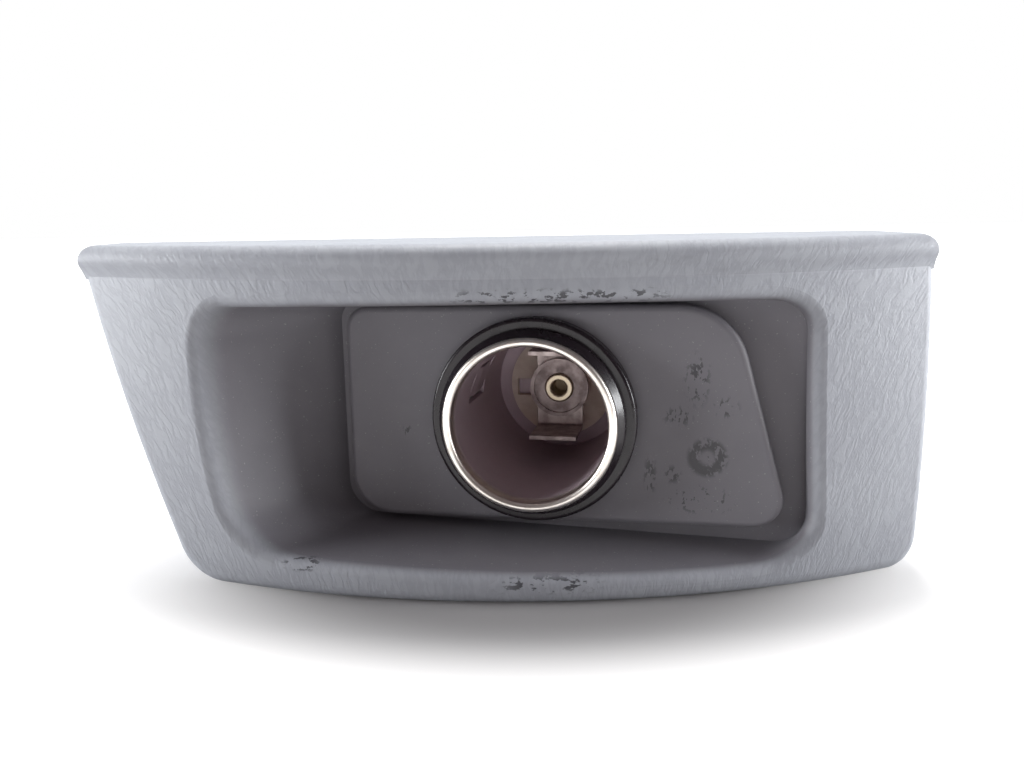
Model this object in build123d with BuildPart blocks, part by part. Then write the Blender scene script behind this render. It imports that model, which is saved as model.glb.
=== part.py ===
from build123d import *
from math import asin, cos, degrees, hypot, radians, sin, tan
import os

os.makedirs("parts", exist_ok=True)

# The origin is the middle of the platform's face, on the socket's axis. X runs to the viewer's right,
# Y away from the viewer and Z up. All lengths are in millimetres and all angles in degrees.

# Trim panel: height and depth
panel_bottom = -21.6
panel_top = 24.2
panel_back = 18.6
wall = 2.4

# Trim panel: bowed face, an arc in plan swept about an upright axis and a slacker arc in height
bow_radius = 125.8
bow_x = 1.5
face_front = -13.2
face_height_radius = 190.0
face_front_height = -14.0
face_edge_radius = 1.8

# Trim panel: ends, seen from the front
left_top_x = -65.4
left_bottom_x = -47.6
left_corner_radius = 7.0
right_top_x = 54.5
right_bottom_x = 52.5
right_corner_radius = 4.6
top_corner_radius = 2.6

# Roll along the top of the face
roll_radius = 1.9
roll_proud = 1.4
roll_cover = 2.3
roll_blend_angle = 35.0
roll_blend_drop = 2.9
roll_blend_bite = 0.12

# Socket's direction: turned to the viewer's left, level
socket_turn = 12.0

# Recess: corners of its mouth on the face and of its floor behind the platform, seen from the front
mouth_left_top = (-46.6, 16.1)
mouth_left_bottom = (-40.6, -16.2)
mouth_right_bottom = (35.9, -17.8)
mouth_right_top = (33.6, 16.4)
mouth_radii = (5.0, 16.0, 11.0, 7.0)
floor_left_top = (-28.3, 15.8)
floor_left_bottom = (-28.3, -15.9)
floor_right_bottom = (35.8, -17.2)
floor_right_top = (34.8, 16.1)
floor_radii = (3.0, 5.0, 4.0, 4.0)
floor_depth = 3.5
recess_wall = 2.0
recess_sill = 4.0
mouth_edge_radius = 1.6

# Platform, on its own face: corners, measured across and up from the socket's axis
platform_left_top = (-27.0, 15.2)
platform_left_bottom = (-27.2, -15.2)
platform_right_bottom = (34.6, -14.2)
platform_right_top = (26.3, 15.7)
platform_radii = (3.2, 6.0, 4.0, 9.5)
platform_wall = 2.2
platform_side_wall = 1.5
platform_edge_radius = 0.9

# Ribs and clip towers behind the panel
rib_width = 1.2
rib_back_gap = 5.0
rib_left_x = (-40.0, -20.0)
rib_right_x = (20.0, 33.0)
tower_thickness = 2.0
tower_width = 8.0
tower_proud = 7.0
tower_places = {
    "left_top": (-52.5, 13.0),
    "left_bottom": (-42.5, -11.0),
    "right_top": (46.0, 14.0),
    "right_bottom": (46.0, -10.0),
}

# Spring clips on the towers
clip_sheet = 0.5
clip_width = 7.0
clip_bulge = 3.3
clip_foot = 2.4
clip_length = 8.6
clip_bulge_share = 0.55
clip_fold_radius = 0.4

# Socket barrel
bore_diameter = 21.2
barrel_sheet = 0.6
barrel_depth = 31.7
barrel_floor_sheet = 0.8
rim_proud = 5.5
rim_roll = 1.24
barrel_floor_hole = 9.0
barrel_corner_radius = 0.7

# Spring tongues pressed out of the barrel's wall
tongue_angles = (160.0, -20.0)
tongue_front_depth = 10.5
tongue_length = 8.0
tongue_width = 4.6
tongue_slot = 0.8
tongue_press = 0.3
tongue_bend = 1.8
tongue_sheet = 0.5

# Mounting collar
collar_clearance = 0.1
collar_step_diameter = 25.4
collar_step_height = 3.3
collar_lip = 1.4
collar_flange_thickness = 2.2
collar_flange_round = 0.5
collar_step_round = 0.35
collar_neck_diameter = 24.4
collar_neck_length = 5.0
hole_clearance = 0.15
key_width = 2.0
key_height = 0.8

# Inner insulator, bimetal clip and contact disc
insulator_diameter = 16.8
insulator_thickness = 1.4
insulator_hub_diameter = 8.4
insulator_hub_height = 1.5
insulator_spigot_length = 1.4
insulator_window = (3.3, 2.8)
insulator_window_place = (-5.75, -0.6)
fit_gap = 0.1
bimetal_sheet = 0.6
bimetal_width = 7.3
bimetal_half_height = 6.9
bimetal_arm = 8.0
bimetal_bend = 1.2
disc_diameter = 9.4
disc_sheet = 0.6
disc_lip = 0.5

# Contact stud
stud_shank_diameter = 3.4
stud_thread_diameter = 5.0
stud_head_diameter = 4.6
stud_head_height = 0.8
stud_bore_diameter = 2.4
stud_bore_depth = 4.0
stud_head_round = 0.3
stud_end = 1.4
stud_end_chamfer = 0.5

# Clamp sleeve
sleeve_sheet = 0.65
sleeve_floor_gap = 2.5
sleeve_floor_hole = 10.0
sleeve_corner_radius = 0.6

# Fastening stack behind the sleeve
rear_insulator_diameter = 15.0
rear_insulator_thickness = 1.4
washer_diameter = 10.0
washer_thickness = 0.8
lock_washer_diameter = 9.4
lock_washer_thickness = 0.7
lock_washer_teeth = 10
lock_washer_tooth_depth = 1.1
lock_washer_notch = 1.0
nut_across_flats = 8.0
nut_thickness = 4.0
nut_chamfer = 0.5

# Blade terminals
blade_width = 6.3
blade_sheet = 0.8
blade_reach = 12.0
blade_bend = 0.8
blade_hole = 1.8
blade_hole_inset = 3.6
blade_tip_chamfer = 1.2
positive_blade_height = 8.2
ground_blade_height = -12.3
ground_base_start = -7.9
ground_rivet_height = -9.4
rivet_shank_diameter = 2.0
rivet_head_diameter = 2.8
rivet_head_height = 0.8
rivet_head_round = 0.35


# Directions and working planes
turn = radians(socket_turn)
outwards = (-sin(turn), -cos(turn), 0)
across = (cos(turn), -sin(turn), 0)
socket_axis = Axis((0, 0, 0), outwards)
platform_plane = Plane(origin=(0, 0, 0), x_dir=across, z_dir=outwards)
turning_plane = Plane(origin=(0, 0, 0), x_dir=across, z_dir=(0, 0, -1))
side_plane = Plane(origin=(0, 0, 0), x_dir=(0, 0, 1), z_dir=across)
front_plane = Plane(origin=(0, 0, 0), x_dir=(1, 0, 0), z_dir=(0, -1, 0))
bow_y = face_front + bow_radius
bow_axis = Axis((bow_x, bow_y, 0), (0, 0, 1))


def bow_plane(angle):
    """Upright plane through the axis of the bow: its x is the distance from that axis, its y is Z."""
    a = radians(angle)
    return Plane(origin=(bow_x, bow_y, 0), x_dir=(sin(a), -cos(a), 0), z_dir=(-cos(a), -sin(a), 0))


def face_radius(z):
    """Distance of the bowed face from the axis of the bow at height z."""
    rise = z - face_front_height
    return bow_radius - rise * rise / (2 * face_height_radius)


def bow_angle(x, radius):
    """Angle about the axis of the bow at which a point on that radius stands at x."""
    return degrees(asin((x - bow_x) / radius))


def moved_sides(corners, steps):
    """Corners of a four-sided outline, anticlockwise, after each side has moved outwards by its step."""
    lines = []
    for i, step in enumerate(steps):
        (x1, y1), (x2, y2) = corners[i], corners[(i + 1) % 4]
        length = hypot(x2 - x1, y2 - y1)
        dx, dy = (x2 - x1) / length, (y2 - y1) / length
        lines.append((x1 + dy * step, y1 - dx * step, dx, dy))
    moved = []
    for i in range(4):
        x1, y1, dx1, dy1 = lines[i - 1]
        x2, y2, dx2, dy2 = lines[i]
        t = ((x2 - x1) * dy2 - (y2 - y1) * dx2) / (dx1 * dy2 - dy1 * dx2)
        moved.append((x1 + dx1 * t, y1 + dy1 * t))
    return moved


def panel_outline(inset):
    """Panel seen from the front, with every side moved in by inset."""
    corners = [
        (left_top_x, panel_top),
        (left_bottom_x, panel_bottom),
        (right_bottom_x, panel_bottom),
        (right_top_x, panel_top),
    ]
    outer_radii = [top_corner_radius, left_corner_radius, right_corner_radius, top_corner_radius]
    radii = [r - inset for r in outer_radii]
    with BuildSketch(front_plane.offset(-front_of_all)) as outline:
        with BuildLine():
            FilletPolyline(*moved_sides(corners, [-inset] * 4), radius=radii, close=True)
        make_face()
    return outline.sketch


# Places that follow from the sizes above
mouth_plane_y = face_front - 1.0
front_of_all = face_front - 5.0
body_inner_radius = bow_radius - 90.0
sweep_left = bow_angle(left_top_x - 6, bow_radius)
sweep_right = bow_angle(right_top_x + 6, bow_radius)
floor_plane = platform_plane.offset(-floor_depth)


def floor_y(x):
    """Y of the recess floor at x."""
    return (floor_depth / cos(turn)) - x * tan(turn)


def face_y(x, z):
    """Y of the bowed face at x and z."""
    radius = face_radius(z)
    return bow_y - radius * cos(asin((x - bow_x) / radius))


def front_corner(mouth, floor):
    """Corner of the recess's front outline, in line with a floor corner and a mouth corner on the face."""
    (x, z), (floor_x, floor_z) = mouth, floor
    back = floor_y(floor_x)
    share = (back - mouth_plane_y) / (back - face_y(x, z))
    return (floor_x + (x - floor_x) * share, floor_z + (z - floor_z) * share)


mouths = [mouth_left_top, mouth_left_bottom, mouth_right_bottom, mouth_right_top]
floor_corners = [floor_left_top, floor_left_bottom, floor_right_bottom, floor_right_top]
front_corners = [front_corner(mouth, corner) for mouth, corner in zip(mouths, floor_corners)]
platform_corners = [platform_left_top, platform_left_bottom, platform_right_bottom, platform_right_top]
bore_radius = bore_diameter / 2
barrel_radius = bore_radius + barrel_sheet
collar_bore_radius = barrel_radius + collar_clearance
collar_neck_radius = collar_neck_diameter / 2
collar_flange_radius = collar_step_diameter / 2 + collar_lip
panel_hole_radius = collar_neck_radius + hole_clearance
sleeve_bore_radius = panel_hole_radius
sleeve_radius = sleeve_bore_radius + sleeve_sheet
barrel_floor = rim_proud - barrel_depth
barrel_back = barrel_floor - barrel_floor_sheet
insulator_front = barrel_floor + insulator_thickness
hub_front = insulator_front + insulator_hub_height
bimetal_front = hub_front + bimetal_sheet
disc_front = bimetal_front + disc_sheet
spigot_end = barrel_floor - insulator_spigot_length
sleeve_floor = barrel_back - sleeve_floor_gap
sleeve_back = sleeve_floor - sleeve_sheet
rear_insulator_back = sleeve_back - rear_insulator_thickness
washer_back = rear_insulator_back - washer_thickness
positive_back = washer_back - blade_sheet
lock_washer_back = positive_back - lock_washer_thickness
nut_back = lock_washer_back - nut_thickness
stud_back = nut_back - stud_end
stud_shank_radius = stud_shank_diameter / 2
stud_hole_radius = stud_shank_radius + fit_gap
stud_thread_radius = stud_thread_diameter / 2
thread_hole_radius = stud_thread_radius + fit_gap
tower_end = panel_back + tower_proud


def nearest_vertex(sketch, point):
    """Vertex of a sketch that is nearest to a point of its own plane."""
    return sketch.vertices().sort_by_distance((*point, 0))[0]


def recess_space(steps, deeper):
    """Recess as a solid, with the sides of its outlines moved outwards and its floor made deeper."""
    with BuildPart() as space:
        with BuildSketch(front_plane.offset(-mouth_plane_y)):
            with BuildLine():
                radii = [r + steps[i] for i, r in enumerate(mouth_radii)]
                FilletPolyline(*moved_sides(front_corners, steps), radius=radii, close=True)
            make_face()
        with BuildSketch(floor_plane.offset(-deeper)):
            with BuildLine():
                corners = [(x / cos(turn), z) for x, z in floor_corners]
                radii = [r + steps[i] for i, r in enumerate(floor_radii)]
                FilletPolyline(*moved_sides(corners, steps), radius=radii, close=True)
            make_face()
        loft(ruled=True)
    return space.part


def platform_block(inset, lower):
    """Platform as a solid on the recess floor, with its sides moved in and its face lowered."""
    with BuildPart() as block:
        with BuildSketch(platform_plane.offset(-lower)):
            with BuildLine():
                radii = [max(r - inset, 0.5) for r in platform_radii]
                FilletPolyline(*moved_sides(platform_corners, [-inset] * 4), radius=radii, close=True)
            make_face()
        extrude(amount=-(floor_depth + recess_wall + 20))
    return block.part


# Trim panel: solid body with the bowed face, cut to its outline
def bowed_block(inset):
    """Everything behind the bowed face, with the face, bottom, top and ends moved in by inset."""
    low = panel_bottom + inset
    high = panel_top - inset
    middle = (low + high) / 2
    with BuildPart() as block:
        with BuildSketch(bow_plane(sweep_left)):
            with BuildLine():
                front = ThreePointArc(
                    (face_radius(low) - inset, low),
                    (face_radius(middle) - inset, middle),
                    (face_radius(high) - inset, high),
                )
                Polyline(front @ 1, (body_inner_radius, high), (body_inner_radius, low), front @ 0)
            make_face()
        revolve(axis=bow_axis, revolution_arc=sweep_right - sweep_left)
        extrude(panel_outline(inset), amount=front_of_all - panel_back - 2 * inset, mode=Mode.INTERSECT)
    return block.part


with BuildPart() as recess_void:
    add(recess_space([0, 0, 0, 0], 0))
    add(platform_block(0, 0), mode=Mode.SUBTRACT)

with BuildPart() as recess_shell:
    add(recess_space([recess_wall, recess_sill, recess_wall, recess_wall], recess_wall))
    add(platform_block(platform_side_wall, platform_wall), mode=Mode.SUBTRACT)

with BuildPart() as panel_cavity:
    add(bowed_block(wall))
    add(recess_shell.part, mode=Mode.SUBTRACT)
    for x in rib_left_x + rib_right_x:
        with BuildSketch(front_plane.offset(-front_of_all)):
            with Locations((x, (panel_top + panel_bottom) / 2)):
                Rectangle(rib_width, panel_top - panel_bottom)
        extrude(amount=front_of_all - (panel_back - rib_back_gap), mode=Mode.SUBTRACT)
    for x, z in tower_places.values():
        with BuildSketch(front_plane.offset(-front_of_all)):
            with Locations((x, z)):
                Rectangle(tower_thickness, tower_width)
        extrude(amount=front_of_all - tower_end, mode=Mode.SUBTRACT)

# Roll: a round bead that follows the bow, with a hollow blend down to the face
roll_height = panel_top - roll_radius
roll_centre = face_radius(roll_height) + roll_proud - roll_radius
roll_foot_height = roll_height - roll_blend_drop
roll_foot = face_radius(roll_foot_height) - roll_blend_bite
blend_turn = radians(roll_blend_angle)
with BuildPart() as panel_roll:
    with BuildSketch(bow_plane(sweep_left)):
        with BuildLine():
            blend_out = roll_centre + roll_radius * cos(blend_turn)
            blend_top = (blend_out, roll_height - roll_radius * sin(blend_turn))
            blend_foot = (roll_foot, roll_foot_height)
            roll_back = roll_centre - roll_cover
            ThreePointArc((roll_centre, panel_top), (roll_centre + roll_radius, roll_height), blend_top)
            TangentArc(blend_top, blend_foot, tangent=(-sin(blend_turn), -cos(blend_turn)))
            roll_inside = [(roll_back, roll_height), (roll_back, panel_top)]
            Polyline(blend_foot, *roll_inside, (roll_centre, panel_top))
        make_face()
    revolve(axis=bow_axis, revolution_arc=sweep_right - sweep_left)
    extrude(panel_outline(0), amount=front_of_all - panel_back, mode=Mode.INTERSECT)


def bowed_face(part):
    """Largest face of revolution, which is the panel's front."""
    return part.faces().filter_by(GeomType.REVOLUTION).sort_by(SortBy.AREA)[-1]


def on_platform(face):
    """True for a flat face that lies in the platform's own plane."""
    square = abs(face.normal_at().dot(Vector(*outwards)) - 1) < 1e-6
    return square and abs(face.center().dot(Vector(*outwards))) < 1e-3


with BuildPart() as trim_panel:
    add(bowed_block(0))
    fillet(bowed_face(trim_panel).edges().sort_by(Axis.Z)[:-1], face_edge_radius)
    add(recess_void.part, mode=Mode.SUBTRACT)
    fillet(bowed_face(trim_panel).inner_wires()[0].edges(), mouth_edge_radius)
    platform_face = trim_panel.faces().filter_by(GeomType.PLANE).filter_by(on_platform)[0]
    fillet(platform_face.outer_wire().edges(), platform_edge_radius)
    add(panel_cavity.part, mode=Mode.SUBTRACT)
    for x, z in tower_places.values():
        with BuildSketch(front_plane.offset(-tower_end)):
            with Locations((x, z)):
                Rectangle(tower_thickness, tower_width)
        extrude(amount=tower_proud + wall)
    with BuildSketch(platform_plane):
        Circle(panel_hole_radius)
        with Locations((0, -panel_hole_radius)):
            Rectangle(key_width + 2 * hole_clearance, 2 * (key_height + hole_clearance))
    extrude(amount=-2 * platform_wall, mode=Mode.SUBTRACT)
    add(panel_roll.part)
trim_panel.part.label = "trim_panel"
export_step(trim_panel.part, "parts/trim_panel.step")

# Spring clips: a strip folded over the end of each tower, with two springy sides
for place, (x, z) in tower_places.items():
    side = tower_thickness / 2 + clip_sheet / 2
    half_path = [
        (clip_foot, tower_end - clip_length),
        (clip_bulge, tower_end - clip_length * clip_bulge_share),
        (side, tower_end + clip_sheet / 2),
    ]
    path_points = [(x - dx, y) for dx, y in half_path] + [(x + dx, y) for dx, y in reversed(half_path)]
    with BuildPart() as panel_clip:
        with BuildSketch(Plane.XY.offset(z)):
            with BuildLine():
                strip = FilletPolyline(*path_points, radius=clip_fold_radius)
            trace(strip, line_width=clip_sheet)
        extrude(amount=clip_width / 2, both=True)
    panel_clip.part.label = "panel_clip_" + place
    export_step(panel_clip.part, "parts/panel_clip_" + place + ".step")

# Mounting collar: flange on the platform, step, cone up to the rim, and keyed neck through the hole
rim_seat = rim_proud - rim_roll
rim_radius = bore_radius + rim_roll
with BuildPart() as mounting_collar:
    with BuildSketch(turning_plane) as collar_profile:
        with BuildLine():
            Polyline(
                (collar_bore_radius, -collar_neck_length),
                (collar_neck_radius, -collar_neck_length),
                (collar_neck_radius, 0),
                (collar_flange_radius, 0),
                (collar_flange_radius, collar_flange_thickness),
                (collar_step_diameter / 2, collar_flange_thickness),
                (collar_step_diameter / 2, collar_step_height),
                (rim_radius, rim_seat),
                (collar_bore_radius, rim_seat),
                close=True,
            )
        make_face()
        flange_corner = (collar_flange_radius, collar_flange_thickness)
        step_corner = (collar_step_diameter / 2, collar_step_height)
        for corner, radius in ((flange_corner, collar_flange_round), (step_corner, collar_step_round)):
            fillet(nearest_vertex(collar_profile, corner), radius)
    revolve(axis=socket_axis)
    with BuildSketch(platform_plane):
        with Locations((0, -collar_neck_radius)):
            Rectangle(key_width, 2 * key_height)
        Circle(collar_bore_radius, mode=Mode.SUBTRACT)
    extrude(amount=-platform_wall)
mounting_collar.part.label = "mounting_collar"
export_step(mounting_collar.part, "parts/mounting_collar.step")

# Socket barrel: drawn cup with a rolled rim, a pierced floor and two spring tongues
with BuildPart() as socket_barrel:
    with BuildSketch(turning_plane) as barrel_profile:
        with BuildLine():
            Polyline(
                (bore_radius, rim_proud - rim_roll / 2),
                (barrel_radius, rim_proud - rim_roll / 2),
                (barrel_radius, barrel_back),
                (barrel_floor_hole / 2, barrel_back),
                (barrel_floor_hole / 2, barrel_floor),
                (bore_radius, barrel_floor),
                close=True,
            )
        make_face()
        fillet(nearest_vertex(barrel_profile, (barrel_radius, barrel_back)), barrel_corner_radius)
        with Locations((bore_radius + rim_roll / 2, rim_proud - rim_roll / 2)):
            Circle(rim_roll / 2)
    revolve(axis=socket_axis)
    window_front = rim_proud - tongue_front_depth
    window_back = window_front - tongue_slot - tongue_length
    tongue_tip = window_front - tongue_slot
    for angle in tongue_angles:
        radial = Vector(*across) * cos(radians(angle)) + Vector(0, 0, 1) * sin(radians(angle))
        window_plane = Plane(origin=radial * (bore_radius - 1), x_dir=outwards, z_dir=radial)
        tongue_plane = Plane(origin=(0, 0, 0), x_dir=radial, z_dir=radial.cross(Vector(*outwards)))
        with BuildSketch(window_plane):
            with Locations(((window_front + window_back) / 2, 0)):
                Rectangle(window_front - window_back, tongue_width + 2 * tongue_slot)
        extrude(amount=barrel_sheet + 2, mode=Mode.SUBTRACT)
        with BuildSketch(tongue_plane):
            with BuildLine():
                inner = [
                    (bore_radius, window_back - tongue_slot),
                    (bore_radius - tongue_press, tongue_tip - tongue_bend),
                    (bore_radius, tongue_tip),
                ]
                outer = [(r + tongue_sheet, h) for r, h in reversed(inner)]
                Polyline(*inner, *outer, close=True)
            make_face()
        extrude(amount=tongue_width / 2, both=True)
socket_barrel.part.label = "socket_barrel"
export_step(socket_barrel.part, "parts/socket_barrel.step")

# Inner insulator: disc with a window, hub under the bimetal clip and spigot through the barrel's floor
with BuildPart() as inner_insulator:
    with BuildSketch(platform_plane.offset(barrel_floor)):
        Circle(insulator_diameter / 2)
        with Locations(insulator_window_place):
            Rectangle(*insulator_window, mode=Mode.SUBTRACT)
    extrude(amount=insulator_thickness)
    with BuildSketch(platform_plane.offset(insulator_front)):
        Circle(insulator_hub_diameter / 2)
    extrude(amount=insulator_hub_height)
    with BuildSketch(platform_plane.offset(barrel_floor)):
        Circle(barrel_floor_hole / 2 - fit_gap)
    extrude(amount=-insulator_spigot_length)
    with BuildSketch(platform_plane.offset(hub_front)):
        Circle(stud_hole_radius)
    extrude(amount=spigot_end - hub_front, mode=Mode.SUBTRACT)
inner_insulator.part.label = "inner_insulator"
export_step(inner_insulator.part, "parts/inner_insulator.step")

# Bimetal clip: strip bent into a U whose arms face the mouth
with BuildPart() as bimetal_clip:
    arm_tip = bimetal_front + bimetal_arm
    inner_height = bimetal_half_height - bimetal_sheet
    with BuildSketch(side_plane) as clip_profile:
        with BuildLine():
            Polyline(
                (-bimetal_half_height, hub_front),
                (bimetal_half_height, hub_front),
                (bimetal_half_height, arm_tip),
                (inner_height, arm_tip),
                (inner_height, bimetal_front),
                (-inner_height, bimetal_front),
                (-inner_height, arm_tip),
                (-bimetal_half_height, arm_tip),
                close=True,
            )
        make_face()
        for side in (-1, 1):
            fillet(nearest_vertex(clip_profile, (side * bimetal_half_height, hub_front)), bimetal_bend)
            inner_corner = nearest_vertex(clip_profile, (side * inner_height, bimetal_front))
            fillet(inner_corner, bimetal_bend - bimetal_sheet)
    extrude(amount=bimetal_width / 2, both=True)
    with BuildSketch(platform_plane.offset(bimetal_front)):
        Circle(stud_hole_radius)
    extrude(amount=-bimetal_sheet, mode=Mode.SUBTRACT)
bimetal_clip.part.label = "bimetal_clip"
export_step(bimetal_clip.part, "parts/bimetal_clip.step")

# Contact disc: washer with a raised lip
with BuildPart() as contact_disc:
    with BuildSketch(turning_plane):
        with BuildLine():
            Polyline(
                (stud_hole_radius, bimetal_front),
                (disc_diameter / 2, bimetal_front),
                (disc_diameter / 2, disc_front + disc_lip),
                (disc_diameter / 2 - disc_sheet, disc_front + disc_lip),
                (disc_diameter / 2 - disc_sheet, disc_front),
                (stud_hole_radius, disc_front),
                close=True,
            )
        make_face()
    revolve(axis=socket_axis)
contact_disc.part.label = "contact_disc"
export_step(contact_disc.part, "parts/contact_disc.step")

# Contact stud: hollow flared head, plain shank and threaded rear end
head_front = disc_front + stud_head_height
with BuildPart() as contact_stud:
    with BuildSketch(turning_plane) as stud_profile:
        with BuildLine():
            Polyline(
                (0, head_front - stud_bore_depth),
                (stud_bore_diameter / 2, head_front - stud_bore_depth),
                (stud_bore_diameter / 2, head_front),
                (stud_head_diameter / 2, head_front),
                (stud_head_diameter / 2, disc_front),
                (stud_shank_radius, disc_front),
                (stud_shank_radius, spigot_end),
                (stud_thread_radius, spigot_end),
                (stud_thread_radius, stud_back + stud_end_chamfer),
                (stud_thread_radius - stud_end_chamfer, stud_back),
                (0, stud_back),
                close=True,
            )
        make_face()
        for radius_there in (stud_bore_diameter / 2, stud_head_diameter / 2):
            fillet(nearest_vertex(stud_profile, (radius_there, head_front)), stud_head_round)
    revolve(axis=socket_axis)
contact_stud.part.label = "contact_stud"
export_step(contact_stud.part, "parts/contact_stud.step")

# Clamp sleeve: can over the barrel, whose open end bears on the back of the platform
with BuildPart() as clamp_sleeve:
    with BuildSketch(turning_plane) as sleeve_profile:
        with BuildLine():
            Polyline(
                (sleeve_bore_radius, -platform_wall),
                (sleeve_radius, -platform_wall),
                (sleeve_radius, sleeve_back),
                (sleeve_floor_hole / 2, sleeve_back),
                (sleeve_floor_hole / 2, sleeve_floor),
                (sleeve_bore_radius, sleeve_floor),
                close=True,
            )
        make_face()
        fillet(nearest_vertex(sleeve_profile, (sleeve_radius, sleeve_back)), sleeve_corner_radius)
    revolve(axis=socket_axis)
    with BuildSketch(platform_plane.offset(sleeve_floor)):
        with Locations((0, ground_rivet_height)):
            Circle(rivet_shank_diameter / 2)
    extrude(amount=-sleeve_sheet, mode=Mode.SUBTRACT)
clamp_sleeve.part.label = "clamp_sleeve"
export_step(clamp_sleeve.part, "parts/clamp_sleeve.step")

# Rear insulator: stepped bush between the sleeve and the stud
with BuildPart() as rear_insulator:
    with BuildSketch(platform_plane.offset(sleeve_back)):
        Circle(rear_insulator_diameter / 2)
    extrude(amount=-rear_insulator_thickness)
    with BuildSketch(platform_plane.offset(sleeve_back)):
        Circle(sleeve_floor_hole / 2 - fit_gap)
    extrude(amount=sleeve_sheet)
    with BuildSketch(platform_plane.offset(sleeve_floor)):
        Circle(thread_hole_radius)
    extrude(amount=rear_insulator_back - sleeve_floor, mode=Mode.SUBTRACT)
rear_insulator.part.label = "rear_insulator"
export_step(rear_insulator.part, "parts/rear_insulator.step")

# Flat washer
with BuildPart() as flat_washer:
    with BuildSketch(platform_plane.offset(rear_insulator_back)):
        Circle(washer_diameter / 2)
        Circle(thread_hole_radius, mode=Mode.SUBTRACT)
    extrude(amount=-washer_thickness)
flat_washer.part.label = "flat_washer"
export_step(flat_washer.part, "parts/flat_washer.step")

# Blade terminals: a flat base and a blade bent to the rear
blade_end = washer_back - blade_reach


def bent_blade(base_start, blade_side, front):
    """Strip that lies flat from base_start outwards, with its upper face at front, then turns to the rear."""
    sign = 1 if blade_side > 0 else -1
    inner_side = blade_side - sign * blade_sheet
    back = front - blade_sheet
    with BuildPart() as blade:
        with BuildSketch(side_plane) as outline:
            with BuildLine():
                Polyline(
                    (base_start, front),
                    (blade_side, front),
                    (blade_side, blade_end),
                    (inner_side, blade_end),
                    (inner_side, back),
                    (base_start, back),
                    close=True,
                )
            make_face()
            fillet(nearest_vertex(outline, (blade_side, front)), blade_bend + blade_sheet)
            fillet(nearest_vertex(outline, (inner_side, back)), blade_bend)
        extrude(amount=blade_width / 2, both=True)
        tip_edges = blade.edges().filter_by(Axis.Z).sort_by(socket_axis)[:2]
        chamfer(tip_edges, blade_tip_chamfer)
        with BuildSketch(Plane(origin=(0, 0, blade_side), x_dir=across, z_dir=(0, 0, 1))):
            with Locations((0, -(blade_end + blade_hole_inset))):
                Circle(blade_hole / 2)
        extrude(amount=-2 * sign * blade_sheet, both=True, mode=Mode.SUBTRACT)
    return blade.part


with BuildPart() as positive_terminal:
    add(bent_blade(0, positive_blade_height, washer_back))
    with BuildSketch(platform_plane.offset(washer_back)):
        Circle(washer_diameter / 2)
    extrude(amount=-blade_sheet)
    with BuildSketch(platform_plane.offset(washer_back)):
        Circle(thread_hole_radius)
    extrude(amount=-blade_sheet, mode=Mode.SUBTRACT)
positive_terminal.part.label = "positive_terminal"
export_step(positive_terminal.part, "parts/positive_terminal.step")

with BuildPart() as ground_terminal:
    add(bent_blade(ground_base_start, ground_blade_height, sleeve_back))
    with BuildSketch(platform_plane.offset(sleeve_back)):
        with Locations((0, ground_rivet_height)):
            Circle(rivet_shank_diameter / 2)
    extrude(amount=-blade_sheet, mode=Mode.SUBTRACT)
ground_terminal.part.label = "ground_terminal"
export_step(ground_terminal.part, "parts/ground_terminal.step")

# Ground rivet: a head inside the sleeve, a shank through floor and terminal, and a domed head outside
with BuildPart() as ground_rivet:
    rivet_back = sleeve_back - blade_sheet
    for head_start in (sleeve_floor, rivet_back - rivet_head_height):
        with BuildSketch(platform_plane.offset(head_start)):
            with Locations((0, ground_rivet_height)):
                Circle(rivet_head_diameter / 2)
        extrude(amount=rivet_head_height)
    outer_edges = ground_rivet.edges().filter_by(GeomType.CIRCLE).sort_by(socket_axis)
    fillet([outer_edges[0], outer_edges[-1]], rivet_head_round)
    with BuildSketch(platform_plane.offset(rivet_back)):
        with Locations((0, ground_rivet_height)):
            Circle(rivet_shank_diameter / 2)
    extrude(amount=sleeve_floor - rivet_back)
ground_rivet.part.label = "ground_rivet"
export_step(ground_rivet.part, "parts/ground_rivet.step")

# Lock washer: toothed outside
with BuildPart() as lock_washer:
    with BuildSketch(platform_plane.offset(positive_back)):
        Circle(lock_washer_diameter / 2)
        Circle(thread_hole_radius, mode=Mode.SUBTRACT)
        with PolarLocations(lock_washer_diameter / 2, lock_washer_teeth):
            Rectangle(2 * lock_washer_tooth_depth, lock_washer_notch, mode=Mode.SUBTRACT)
    extrude(amount=-lock_washer_thickness)
lock_washer.part.label = "lock_washer"
export_step(lock_washer.part, "parts/lock_washer.step")

# Hex nut with its corners turned off at both ends
with BuildPart() as hex_nut:
    with BuildSketch(platform_plane.offset(lock_washer_back)):
        RegularPolygon(nut_across_flats / 2, 6, major_radius=False)
        Circle(thread_hole_radius, mode=Mode.SUBTRACT)
    extrude(amount=-nut_thickness)
    corner_radius = nut_across_flats / 2 / cos(radians(30))
    with BuildSketch(turning_plane):
        with BuildLine():
            Polyline(
                (0, lock_washer_back),
                (nut_across_flats / 2, lock_washer_back),
                (corner_radius, lock_washer_back - nut_chamfer),
                (corner_radius, nut_back + nut_chamfer),
                (nut_across_flats / 2, nut_back),
                (0, nut_back),
                close=True,
            )
        make_face()
    revolve(axis=socket_axis, mode=Mode.INTERSECT)
hex_nut.part.label = "hex_nut"
export_step(hex_nut.part, "parts/hex_nut.step")
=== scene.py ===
# %% [markdown]
# # A 12 volt socket in its dashboard panel
#
# The object is a small moulded trim panel with a leather grain. A smooth recess in its bowed front holds
# a raised platform, and the platform carries the socket: a black collar round a nickel-plated barrel. The
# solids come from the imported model, so every size is already right, and this file gives them their
# finish, the light and the camera. It starts by loading the model, before anything else is made.

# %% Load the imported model
from math import cos, pi, radians, sin

import bmesh
import bpy
from mathutils import Matrix, Vector


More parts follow.
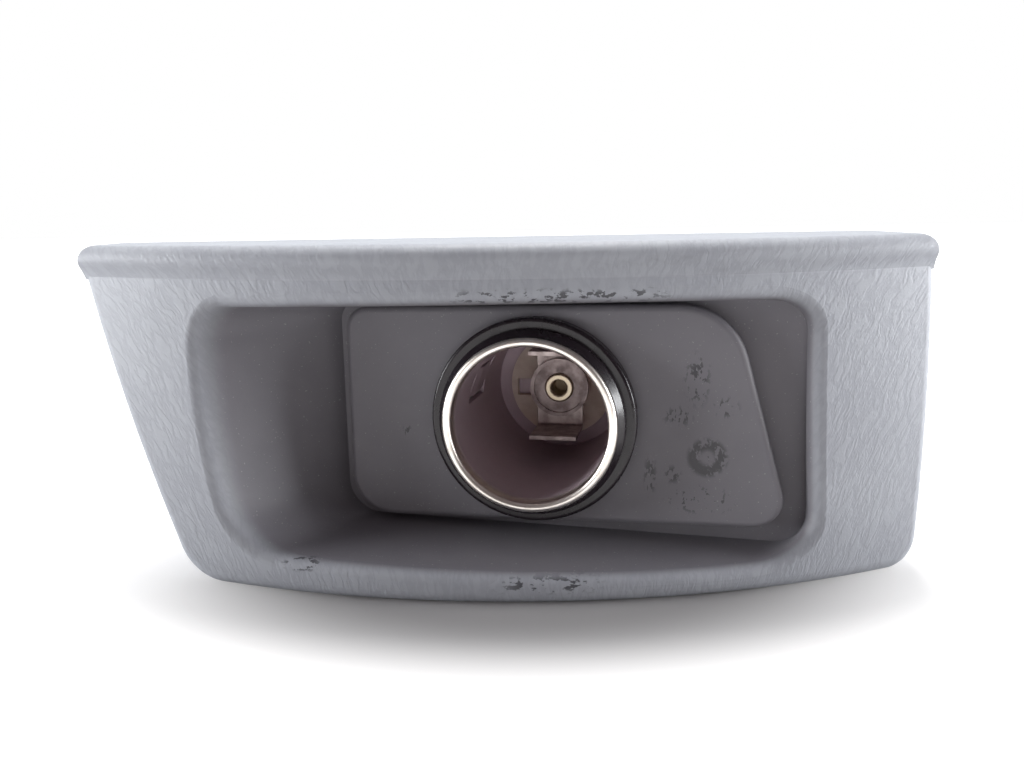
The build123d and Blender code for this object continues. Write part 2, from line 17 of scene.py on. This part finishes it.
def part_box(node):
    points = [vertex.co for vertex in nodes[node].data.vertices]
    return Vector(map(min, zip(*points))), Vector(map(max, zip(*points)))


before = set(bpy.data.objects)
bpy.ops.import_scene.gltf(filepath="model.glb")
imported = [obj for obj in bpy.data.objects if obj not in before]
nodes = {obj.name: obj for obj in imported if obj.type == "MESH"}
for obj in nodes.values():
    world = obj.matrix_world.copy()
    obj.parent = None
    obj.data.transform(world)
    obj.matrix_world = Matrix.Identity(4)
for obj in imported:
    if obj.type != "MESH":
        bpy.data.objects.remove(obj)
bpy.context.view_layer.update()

MM = 0.001
print("nodes loaded:", len(nodes))

# %% [markdown]
# ## Where things are
#
# Materials and lamps need a few places: the floor that the panel stands on, and the socket's own
# direction. The socket is turned 12 degrees to the viewer's left, so a height along its axis is a sum of
# x and y. These are measured from the model where they can be, so that a change of the model carries
# through.

# %% Places on the model
SOCKET_TURN = radians(12)
AXIS = Vector((-sin(SOCKET_TURN), -cos(SOCKET_TURN), 0))
ACROSS = Vector((cos(SOCKET_TURN), -sin(SOCKET_TURN), 0))
panel_low, panel_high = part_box("trim_panel")
floor_height = panel_low.z
print("floor at", round(floor_height / MM, 2), "mm")
print("panel is", round((panel_high.x - panel_low.x) / MM, 1), "mm wide")

# %% [markdown]
# ## The camera
#
# The photograph was taken from close by, a little above the panel, and the camera was held almost level.
# A camera in Blender looks along its own -Z, so it is tipped up by a right angle first, then down by the
# pitch, and last turned about its own line of sight by the small roll.

# %% Camera
CAMERA_PLACE = Vector((-3.05, -120.56, 28.13)) * MM
CAMERA_PITCH = radians(10.94)
CAMERA_ROLL = radians(0.95)
PICTURE_WIDTH = 1024
FOCAL_PIXELS = 900
SENSOR = 36
NEAREST_SEEN = 5 * MM

camera_data = bpy.data.cameras.new("camera")
camera_data.sensor_width = SENSOR
camera_data.lens = SENSOR * FOCAL_PIXELS / PICTURE_WIDTH
camera_data.clip_start = NEAREST_SEEN
camera = bpy.data.objects.new("camera", camera_data)
tilt = Matrix.Rotation(pi / 2 - CAMERA_PITCH, 4, "X") @ Matrix.Rotation(-CAMERA_ROLL, 4, "Z")
camera.matrix_world = Matrix.Translation(CAMERA_PLACE) @ tilt
bpy.context.scene.collection.objects.link(camera)
bpy.context.scene.camera = camera
bpy.context.scene.view_settings.view_transform = "Standard"
print("lens", round(camera_data.lens, 2), "mm")

# %% [markdown]
# ## Shader maths as plain sums
#
# A finish is easier to read as `0.3 + 0.1 * grain` than as a web of nodes. The class below wraps the
# output of one node, and each operator adds the Math node that does its work. Colours don't go through
# it, because a Math node turns a colour grey.

# %% Sockets that can be added and multiplied
class Socket:
    """One output of a shader node. Sums, products and quotients of it become Math nodes."""

    def __init__(self, finish, output):
        self.finish = finish
        self.output = output

    def math(self, operation, *others):
        return self.finish.node("Math", {"operation": operation}, dict(enumerate((self, *others))))

    def __add__(self, other):
        return self.math("ADD", other)

    __radd__ = __add__

    def __sub__(self, other):
        return self.math("SUBTRACT", other)

    def __rsub__(self, other):
        return self.finish.node("Math", {"operation": "SUBTRACT"}, {0: other, 1: self})

    def __mul__(self, other):
        return self.math("MULTIPLY", other)

    __rmul__ = __mul__

    def __truediv__(self, other):
        return self.math("DIVIDE", other)

    def __abs__(self):
        return self.math("ABSOLUTE")

    def rise(self, low, high):
        """0 where this is below low, 1 where it is above high, and a soft step between.

        Where low is the larger of the two, the step falls.
        """
        inputs = {"Value": self, "From Min": low, "From Max": high}
        return self.finish.node("MapRange", {"interpolation_type": "SMOOTHSTEP"}, inputs)


# %% [markdown]
# ## One class for every finish
#
# Each finish is a Principled shader whose plain numbers are set on its own sockets, and only what varies
# over the surface is linked. The node method makes any node: settings first, then the values or links of
# its sockets. All patterns read the object's own coordinates, in millimetres, so they stay put from every
# side.

# %% Finish class
class Finish:
    """A material in the making."""

    def __init__(self, name, color, roughness, **constants):
        self.material = bpy.data.materials.new(name)
        self.material.use_nodes = True
        self.tree = self.material.node_tree
        self.shader = self.tree.nodes["Principled BSDF"]
        self.send("Base Color", (*color, 1))
        self.send("Roughness", roughness)
        for socket, value in constants.items():
            self.send(socket.replace("_", " ").title().replace("Ior", "IOR"), value)
        place = self.node("TexCoord", output="Object")
        self.place = self.node("VectorMath", {"operation": "SCALE"}, {0: place, "Scale": 1 / MM}, "Vector")
        self.x, self.y, self.z = (self.node("SeparateXYZ", {}, {0: self.place}, axis) for axis in "XYZ")

    def node(self, kind, settings=None, inputs=None, output=0):
        """Adds a shader node and returns one of its outputs."""
        node = self.tree.nodes.new("ShaderNode" + kind)
        for key, value in (settings or {}).items():
            setattr(node, key, value)
        for key, value in (inputs or {}).items():
            self.feed(node.inputs[key], value)
        return Socket(self, node.outputs[output])

    def feed(self, socket, value):
        if isinstance(value, Socket):
            self.tree.links.new(value.output, socket)
        else:
            socket.default_value = value

    def send(self, socket, value):
        """Gives the shader's own socket a constant or what varies over the surface."""
        self.feed(self.shader.inputs[socket], value)

    def mix(self, share, first, second):
        """Colour that goes from first to second as share goes from 0 to 1."""
        colors = [value if isinstance(value, Socket) else (*value, 1) for value in (first, second)]
        inputs = {0: share, 6: colors[0], 7: colors[1]}
        return self.node("Mix", {"data_type": "RGBA"}, inputs, 2)

    def noise(self, size, detail, roughness=0.5, at=None):
        """Soft random values round 0.5, with lumps about size millimetres across."""
        inputs = {
            "Vector": at or self.place,
            "Scale": 1 / size,
            "Detail": detail,
            "Roughness": roughness,
        }
        return self.node("TexNoise", {}, inputs)

    def near(self, centre, reach):
        """1 at centre, falling to 0 at reach millimetres along x, y and z."""
        offset = self.node("VectorMath", {"operation": "SUBTRACT"}, {0: self.place, 1: centre}, "Vector")
        share = self.node("VectorMath", {"operation": "DIVIDE"}, {0: offset, 1: reach}, "Vector")
        length = self.node("VectorMath", {"operation": "LENGTH"}, {0: share}, "Value")
        return length.rise(1, 0.35)

    def stretched(self, along, across, up):
        """Place with its x, y and z divided by three lengths, for patterns that are longer one way."""
        inputs = {0: self.place, 1: (along, across, up)}
        return self.node("VectorMath", {"operation": "DIVIDE"}, inputs, "Vector")

    def bump(self, height, depth, strength):
        """Normal of a relief whose height runs from 0 to 1 over depth millimetres."""
        inputs = {"Height": height, "Distance": depth * MM, "Strength": strength}
        return self.node("Bump", {}, inputs, "Normal")

    def dress(self, *names):
        """Puts this finish on the model's nodes."""
        for name in names:
            nodes[name].data.materials.clear()
            nodes[name].data.materials.append(self.material)
        print(self.material.name, "on", ", ".join(names))


# %% [markdown]
# ## Grained panel plastic
#
# The panel is one moulding, but its mould was etched only on the outside: the face and the roll have a
# leather grain, which scatters the light and looks pale, while the recess and its platform are smooth and
# are given a darker colour. That darker colour is partly the smooth finish and partly painted shade, which
# stands in for the shade inside the recess. The grain is therefore held back wherever the surface lies
# behind the bowed face and inside the mouth of the recess. At the recess's left end, where the edge is
# soft, it fades out over a longer way.

# %% Panel plastic
GRAINED_PLASTIC = (0.50, 0.52, 0.56)
# The darker grained colour below serves both for random cloudy tone and for painted shade in the wrinkle
# lines.
GRAINED_SHADE = (0.42, 0.435, 0.48)
# The recess's smooth colours are darker than the grained ones partly for their smooth finish and partly as
# painted shade inside the recess.
SMOOTH_SHADED_PLASTIC = (0.265, 0.256, 0.28)
SMOOTH_SHADE = (0.23, 0.223, 0.248)
WORN_PLASTIC = (0.035, 0.033, 0.038)
BOW_X = 1.5
BOW_RADIUS = 125.8
BOW_FRONT = -13.2
BOW_Y = BOW_FRONT + BOW_RADIUS
FACE_APEX = -14.0
FACE_HEIGHT_RADIUS = 190.0
MOUTH_LEAN = 0.186
MOUTH_LEFT = (-50, -48)
MOUTH_RIGHT = (38.5, 36.5)
MOUTH_BOTTOM = (-20, -18.5)
MOUTH_TOP = (18.6, 17.4)
EDGE_DEPTH = 0.15
FADE = 1.3
LEFT_END_FADE = 2.6
LEFT_END = (-28, -40)

plastic = Finish("grained_plastic", GRAINED_PLASTIC, 0.5)


def depth_behind_face(finish):
    """Millimetres from the bowed face inwards, along the radius of the bow."""
    dx = finish.x - BOW_X
    dy = finish.y - BOW_Y
    radius = (dx * dx + dy * dy).math("SQRT")
    rise = finish.z - FACE_APEX
    return BOW_RADIUS - rise * rise / (2 * FACE_HEIGHT_RADIUS) - radius


depth = depth_behind_face(plastic)
inside_mouth = (plastic.x + plastic.z * MOUTH_LEAN).rise(*MOUTH_LEFT) * plastic.x.rise(*MOUTH_RIGHT)
inside_mouth = inside_mouth * plastic.z.rise(*MOUTH_BOTTOM) * plastic.z.rise(*MOUTH_TOP)
fade = FADE + LEFT_END_FADE * plastic.x.rise(*LEFT_END)
# This recess mask also carries the recess's painted shade into the colour further down.
smooth_shaded_recess = inside_mouth * ((depth - EDGE_DEPTH) / fade).rise(0, 1)
grain_share = 1 - smooth_shaded_recess
print("plastic follows the bow of radius", BOW_RADIUS, "mm")

# %% [markdown]
# ### Leather grain
#
# Real grain is a net of soft wrinkles. Here they are the places where a noise passes its middle value,
# which gives long winding lines. The noise is stretched upwards, and its lines lean with the panel's
# ends: the x that it reads is scaled by the height.

# %% Leather grain
END_LEAN = 0.011
WRINKLE_SIZE = (1.1, 3.0, 3.2)
GRAIN_DEPTH = 0.12
wander = plastic.noise(5, 1) * 1.6
leaning = plastic.x * (1 - plastic.z * END_LEAN) + wander
wrinkle_parts = {i: part / WRINKLE_SIZE[i] for i, part in enumerate((leaning, plastic.y, plastic.z))}
wrinkle_place = plastic.node("CombineXYZ", {}, wrinkle_parts)
waves = plastic.noise(1, 3, 0.55, wrinkle_place)
wrinkles = abs(waves - 0.5).rise(0.0, 0.12)
pores = plastic.noise(0.32, 2)
lumps = plastic.noise(1.3, 2, 0.5, plastic.stretched(1, 1, 1.5))
grain_height = wrinkles * 0.34 + lumps * 0.44 + pores * 0.22
smooth_height = plastic.noise(0.3, 2) * 0.16
relief = grain_height * grain_share + smooth_height * smooth_shaded_recess
plastic.send("Normal", plastic.bump(relief, GRAIN_DEPTH, 0.55))

# %% [markdown]
# ### Wear
#
# Keys and plugs have rubbed through the surface beside the socket, and the dark core of the plastic shows
# there. The marks are a ring left by something round, patches of scabs and of upright flecks round it,
# and scuffs along the upper and lower edge of the recess and at its lower left corner. Places on the
# platform are measured across and up from the socket's axis. Noise breaks every mark up, so that none has
# a drawn outline.

# %% Colour and wear of the plastic
across_platform = plastic.x * ACROSS.x + plastic.y * ACROSS.y
on_front = plastic.y.rise(8, 3)
scabs = plastic.noise(0.7, 3, 0.6, plastic.stretched(1, 1, 1.5))
flecks = plastic.noise(0.5, 2, 0.6, plastic.stretched(1, 1, 2.2))


def spot(u, z, half_width, half_height):
    """Share of an upright oval on the platform: 1 at its middle, 0 at its edge."""
    across_part = (across_platform - u) / half_width
    up_part = (plastic.z - z) / half_height
    return (across_part * across_part + up_part * up_part).math("SQRT").rise(1.0, 0.3)


def ring(u, z, radius, half_width):
    """Share of a round line on the platform."""
    across_part = across_platform - u
    up_part = plastic.z - z
    distance = (across_part * across_part + up_part * up_part).math("SQRT")
    return abs(distance - radius).rise(half_width, half_width * 0.3)


def edge_line(z, half_width, left, right):
    """Share of a level line along an edge of the recess, with both ends faded out."""
    return abs(plastic.z - z).rise(half_width, 0.3) * plastic.x.rise(*left) * plastic.x.rise(*right)


UPPER_EDGE = 17.6
LOWER_EDGE = -18.8
SCUFF_DEPTH = (2.0, 1.2)
RING_PLACE = (23.3, -4.7)
# Each patch has its middle, its half width and height, and the noise values that its marks begin at.
SCAB_PATCHES = (
    ((21.8, 5.8), (2.2, 4.6), (0.53, 0.58)),
    ((18.8, -7.2), (1.5, 1.7), (0.50, 0.56)),
    ((22.5, -10.6), (6.0, 2.6), (0.59, 0.64)),
)
FLECK_PATCHES = (
    (RING_PLACE, (1.1, 0.8), (0.58, 0.64)),
    ((19.4, 0.8), (2.6, 1.9), (0.53, 0.58)),
    ((25.6, 2.2), (2.2, 1.8), (0.55, 0.60)),
    ((15.8, -7.4), (1.2, 3.9), (0.51, 0.57)),
    ((-18.5, -2.3), (0.9, 1.2), (0.55, 0.60)),
)
rubbed = ring(*RING_PLACE, 1.8, 1.25) * scabs.rise(0.40, 0.50)
for marks, patches in ((scabs, SCAB_PATCHES), (flecks, FLECK_PATCHES)):
    for middle, half_size, start in patches:
        rubbed = rubbed + spot(*middle, *half_size) * marks.rise(*start)
upper_scuffs = edge_line(UPPER_EDGE, 1.3, (-13, -6), (19, 12))
lower_scuffs = edge_line(LOWER_EDGE, 1.5, (-7, -2), (9, 5))
corner_scuffs = plastic.near((-31.0, -7.5, -17.2), (4.0, 6.0, 1.3))
edge_noise = plastic.noise(0.8, 3, 0.62, plastic.stretched(1.8, 1, 1))
edge_scuffs = (upper_scuffs + lower_scuffs + corner_scuffs) * depth.rise(*SCUFF_DEPTH)
rubbed = rubbed + edge_scuffs * edge_noise.rise(0.52, 0.58)
rubbed = (rubbed * on_front).math("MINIMUM", 1.0)

cloud = plastic.noise(12, 3, 0.6).rise(0.3, 0.7)
# Cloudy random tone, plus painted shade that darkens the grain's wrinkle lines.
tone_and_crease_shade = cloud * 0.4 + (1 - wrinkles) * 0.5
grained = plastic.mix(tone_and_crease_shade, GRAINED_PLASTIC, GRAINED_SHADE)
smooth_tone = plastic.noise(7, 3, 0.6).rise(0.35, 0.7)
# Colour of the recess: smooth plastic, darkened partly as painted shade of the recess.
smooth_shaded_color = plastic.mix(smooth_tone * 0.5, SMOOTH_SHADED_PLASTIC, SMOOTH_SHADE)
base = plastic.mix(smooth_shaded_recess, grained, smooth_shaded_color)
dust = plastic.noise(0.28, 1, 0.5).rise(0.735, 0.76) * smooth_shaded_recess
base = plastic.mix(dust * 0.6, base, (0.6, 0.6, 0.6))
plastic.send("Base Color", plastic.mix(rubbed * 0.85, base, WORN_PLASTIC))
plastic.send("Roughness", 0.52 - rubbed * 0.15 + pores * 0.08 - smooth_shaded_recess * 0.06)
plastic.dress("trim_panel")

# %% [markdown]
# ## Black collar
#
# The collar is polished black plastic. A thin coat gives it the hard shine, and fine dust and hair
# scratches keep the shine from being perfect.

# %% Collar finish
collar = Finish("polished_black", (0.017, 0.011, 0.015), 0.22, coat_weight=0.05, coat_roughness=0.1)
haze = collar.noise(2.5, 4, 0.6)
collar.send("Roughness", 0.16 + haze * 0.2)
collar.send("Normal", collar.bump(collar.noise(1.2, 3), 0.02, 0.3))
collar.dress("mounting_collar")

# %% [markdown]
# ## Nickel-plated barrel
#
# The rolled rim is polished by every plug and is bright and a little yellow. Down the bore the plating is
# dull and dusty, and only half metallic; its colour there is made darker, which is partly that dull
# plating and partly painted shade of the deep bore. The height along the socket's axis, worked out from x
# and y in millimetres from the platform's face, tells the two apart.

# %% Nickel finish
NICKEL = (1.0, 0.95, 0.88)
STAINED_NICKEL = (0.6, 0.5, 0.42)
# Colour down the bore: partly dull plating, partly painted shade of the deep bore.
DULL_SHADED_NICKEL = (0.58, 0.48, 0.52)
BRIGHT_FROM = 4.2
DULL_AND_SHADED_BELOW = 2.4

nickel = Finish("nickel_plate", NICKEL, 0.2, metallic=1.0)
height = nickel.x * AXIS.x + nickel.y * AXIS.y
# Deeper in the bore the nickel gets darker and duller: real dulling plus painted shade.
bore_dulling_and_shade = height.rise(BRIGHT_FROM, DULL_AND_SHADED_BELOW)
stains = nickel.noise(2.2, 4, 0.65).rise(0.4, 0.7)
bright_part = nickel.mix(stains * 0.35, NICKEL, STAINED_NICKEL)
nickel.send("Base Color", nickel.mix(bore_dulling_and_shade, bright_part, DULL_SHADED_NICKEL))
nickel.send("Metallic", 1 - bore_dulling_and_shade * 0.5)
nickel.send("Roughness", 0.28 + stains * 0.08 + bore_dulling_and_shade * 0.2)
nickel.send("Normal", nickel.bump(nickel.noise(0.8, 2), 0.01, 0.25))
nickel.dress("socket_barrel")

# %% [markdown]
# ## Metal pieces
#
# The other metal pieces are sheet or turned parts with a dull plating. One function makes them all, with
# its own colour and roughness for each, and cloudy stains that lower the shine in places.

# %% Metal finishes
def dull_metal(name, color, roughness, stain, grain_size=1.5):
    """Plated metal with cloudy stains and a faint rolling grain."""
    finish = Finish(name, color, roughness, metallic=1.0)
    clouds = finish.noise(grain_size, 4, 0.6).rise(0.35, 0.7)
    finish.send("Base Color", finish.mix(clouds * 0.6, color, stain))
    finish.send("Roughness", roughness + clouds * 0.15)
    lines = finish.noise(0.25, 2, 0.5, finish.stretched(6, 1, 1))
    finish.send("Normal", finish.bump(lines, 0.01, 0.3))
    return finish


zinc = dull_metal("zinc_plate", (0.55, 0.54, 0.52), 0.35, (0.36, 0.34, 0.32), 4)
zinc.dress("clamp_sleeve", "flat_washer", "lock_washer", "hex_nut")
strip = dull_metal("bimetal_strip", (0.58, 0.50, 0.48), 0.40, (0.34, 0.27, 0.26))
strip.dress("bimetal_clip")
dark = dull_metal("dark_contact", (0.42, 0.35, 0.34), 0.45, (0.24, 0.19, 0.185))
dark.dress("contact_disc")
rivet = dull_metal("plated_brass", (0.66, 0.58, 0.46), 0.28, (0.4, 0.32, 0.24))
rivet.dress("ground_rivet")
tin = dull_metal("tinned_brass", (0.66, 0.62, 0.53), 0.3, (0.5, 0.45, 0.36), 2.5)
tin.dress("positive_terminal", "ground_terminal")
spring = dull_metal("spring_steel", (0.13, 0.13, 0.14), 0.4, (0.07, 0.07, 0.075), 2)
spring.dress(*(name for name in sorted(nodes) if name.startswith("panel_clip")))

# %% [markdown]
# ### The stud
#
# The stud is plain brass. Close to the socket's axis, inside its hollow head, it is rougher with soot.

# %% Stud finish
HOLLOW_RADIUS = 1.45
STUD_BRASS = (0.60, 0.51, 0.38)
contact = Finish("plated_brass_stud", STUD_BRASS, 0.3, metallic=1.0)
sideways = contact.x * ACROSS.x + contact.y * ACROSS.y
from_axis = (sideways * sideways + contact.z * contact.z).math("SQRT")
soot = from_axis.rise(HOLLOW_RADIUS + 0.12, HOLLOW_RADIUS - 0.1)
contact.send("Roughness", 0.3 + soot * 0.4)
turned_lines = contact.noise(0.25, 2, 0.5, contact.stretched(6, 1, 1))
contact.send("Normal", contact.bump(turned_lines, 0.01, 0.3))
contact.dress("contact_stud")

# %% [markdown]
# ## Insulators
#
# Both insulators are punched from pressed laminate. The one inside the barrel is beige and has been
# stained by heat, the one behind the sleeve is black.

# %% Laminate finishes
def laminate(name, color, stain):
    """Pressed laminate with fine fibres and stains."""
    finish = Finish(name, color, 0.6)
    fibres = finish.noise(0.3, 3, 0.6, finish.stretched(1, 1, 4))
    patches = finish.noise(3, 3).rise(0.4, 0.65)
    finish.send("Base Color", finish.mix(patches * 0.7, color, stain))
    finish.send("Roughness", 0.5 + fibres * 0.2)
    finish.send("Normal", finish.bump(fibres, 0.03, 0.4))
    return finish


laminate("beige_laminate", (0.92, 0.82, 0.70), (0.72, 0.61, 0.50)).dress("inner_insulator")
laminate("black_laminate", (0.03, 0.028, 0.027), (0.05, 0.045, 0.04)).dress("rear_insulator")

# %% [markdown]
# ## Floor and surroundings
#
# The photograph's background is a white table with no visible edge. The floor is a plain grey sheet, and
# a glow of its own brings it up to white away from the object. Only the camera and rays that are mirrored
# or pass through something see the glow. It is held back in an oval round the object, sized to the shadow
# in front of the panel, and that grey oval is painted shadow: the cast shadow lies in it, and the ramp of
# the glow sets how dark the shadow's outer part looks.
#
# The light of the photograph comes from a window above and behind the panel. The room itself is dim and
# warm on the viewer's side, bright and cool to the sides and behind, and less bright overhead. The camera
# sees a white background in its place.

# %% Floor
FLOOR_SIZE = 4.0
# The oval with no glow round the object is painted shadow, sized to the panel's shadow; these two numbers
# set its shape and edge.
PAINTED_SHADOW_OVAL = (0.64, 1, 0)
PAINTED_SHADOW_EDGE = (17, 42)
GLOW_AWAY = 0.85
GLOW_EVERYWHERE = 0.02
floor_mesh = bpy.data.meshes.new("floor")
floor_form = bmesh.new()
bmesh.ops.create_grid(floor_form, x_segments=1, y_segments=1, size=FLOOR_SIZE / 2)
bmesh.ops.translate(floor_form, vec=(0, 0, floor_height), verts=floor_form.verts)
floor_form.to_mesh(floor_mesh)
floor_form.free()
floor = bpy.data.objects.new("floor", floor_mesh)
bpy.context.scene.collection.objects.link(floor)

floor_finish = Finish("white_table", (0.44, 0.43, 0.43), 0.7, specular_ior_level=0.1)
rays = floor_finish.tree.nodes.new("ShaderNodeLightPath")
seen = Socket(floor_finish, rays.outputs["Is Camera Ray"])
seen = seen + Socket(floor_finish, rays.outputs["Is Glossy Ray"])
seen = seen + Socket(floor_finish, rays.outputs["Is Transmission Ray"])
# Distance within the oval that holds the glow back, which is painted shadow round the panel.
flat_inputs = {0: floor_finish.place, 1: PAINTED_SHADOW_OVAL}
flat_place = floor_finish.node("VectorMath", {"operation": "MULTIPLY"}, flat_inputs, "Vector")
away = floor_finish.node("VectorMath", {"operation": "LENGTH"}, {0: flat_place}, "Value")
glow = seen * (away.rise(*PAINTED_SHADOW_EDGE) * GLOW_AWAY + GLOW_EVERYWHERE)
floor_finish.send("Emission Color", floor_finish.mix(glow, (0, 0, 0), (1, 1, 1)))
floor_finish.send("Emission Strength", 1.0)
floor_mesh.materials.append(floor_finish.material)
print("floor is", FLOOR_SIZE, "m wide")

# %% Surroundings
world = bpy.data.worlds.new("room")
bpy.context.scene.world = world
world.use_nodes = True
tree = world.node_tree
tree.nodes.clear()


def room_node(kind, settings=None, inputs=None, output=0):
    """Adds a node to the world and returns one of its outputs."""
    node = tree.nodes.new("ShaderNode" + kind)
    for key, value in (settings or {}).items():
        setattr(node, key, value)
    for key, value in (inputs or {}).items():
        if isinstance(value, bpy.types.NodeSocket):
            tree.links.new(value, node.inputs[key])
        else:
            node.inputs[key].default_value = value
    return node.outputs[output]


DIM_ROOM = (0.13, 0.11, 0.113, 1)
BRIGHT_ROOM = (0.95, 1.0, 1.06, 1)
HIGH_ROOM = (0.42, 0.43, 0.46, 1)
BEHIND = (0, 1.0, -0.5)
UPWARDS = (0, 0, 1.0)
direction = room_node("TexCoord", output="Generated")


def turned_to(way, low, high):
    """0 to 1 as a direction of the room turns from low to high towards a way."""
    towards = room_node("VectorMath", {"operation": "DOT_PRODUCT"}, {0: direction, 1: way}, "Value")
    limits = {"Value": towards, "From Min": low, "From Max": high}
    return room_node("MapRange", {"interpolation_type": "SMOOTHSTEP"}, limits)


share = turned_to(BEHIND, -0.72, 0.0)
high = turned_to(UPWARDS, 0.25, 0.75)
lit_color = room_node("Mix", {"data_type": "RGBA"}, {0: high, 6: BRIGHT_ROOM, 7: HIGH_ROOM}, 2)
room_color = room_node("Mix", {"data_type": "RGBA"}, {0: share, 6: DIM_ROOM, 7: lit_color}, 2)
room = room_node("Background", {}, {"Color": room_color, "Strength": 1.0})
white = room_node("Background", {}, {"Color": (1, 1, 1, 1), "Strength": 1.0})
ray = tree.nodes.new("ShaderNodeLightPath")
both = room_node("MixShader", {}, {0: ray.outputs["Is Camera Ray"], 1: room, 2: white})
room_end = tree.nodes.new("ShaderNodeOutputWorld")
tree.links.new(both, room_end.inputs["Surface"])
print("room made")

# %% [markdown]
# ## The windows
#
# One broad sun stands for the window behind the panel. Its height follows from the photograph: the shadow
# in front of the panel is about 17 mm long under a panel that is 46 mm high. Two softer suns come level
# from both sides. They graze the bowed face, so its ends are much brighter than its middle, and they
# hardly reach into the recess. Suns light the whole table evenly, which lamps close by would not.

# %% Window light
def window(name, direction, level, spread, color):
    """Sun that shines from a direction; level 1 makes a white sheet that faces it white."""
    data = bpy.data.lights.new(name, "SUN")
    data.energy = level * pi
    data.angle = radians(spread)
    data.color = color
    sun = bpy.data.objects.new(name, data)
    sun.matrix_world = Vector(direction).to_track_quat("Z", "Y").to_matrix().to_4x4()
    bpy.context.scene.collection.objects.link(sun)
    print(name, "shines from", [round(part, 2) for part in direction])


SUN_HEIGHT = radians(69)
WARM_WHITE = (1.0, 0.99, 0.97)
COOL_WHITE = (0.96, 0.98, 1.0)
window("rear_window", (0, cos(SUN_HEIGHT), sin(SUN_HEIGHT)), level=0.85, spread=16, color=WARM_WHITE)
window("left_window", (-1, 0.0, 0.05), level=1.55, spread=36, color=COOL_WHITE)
window("right_window", (1, 0.0, 0.05), level=1.9, spread=36, color=COOL_WHITE)
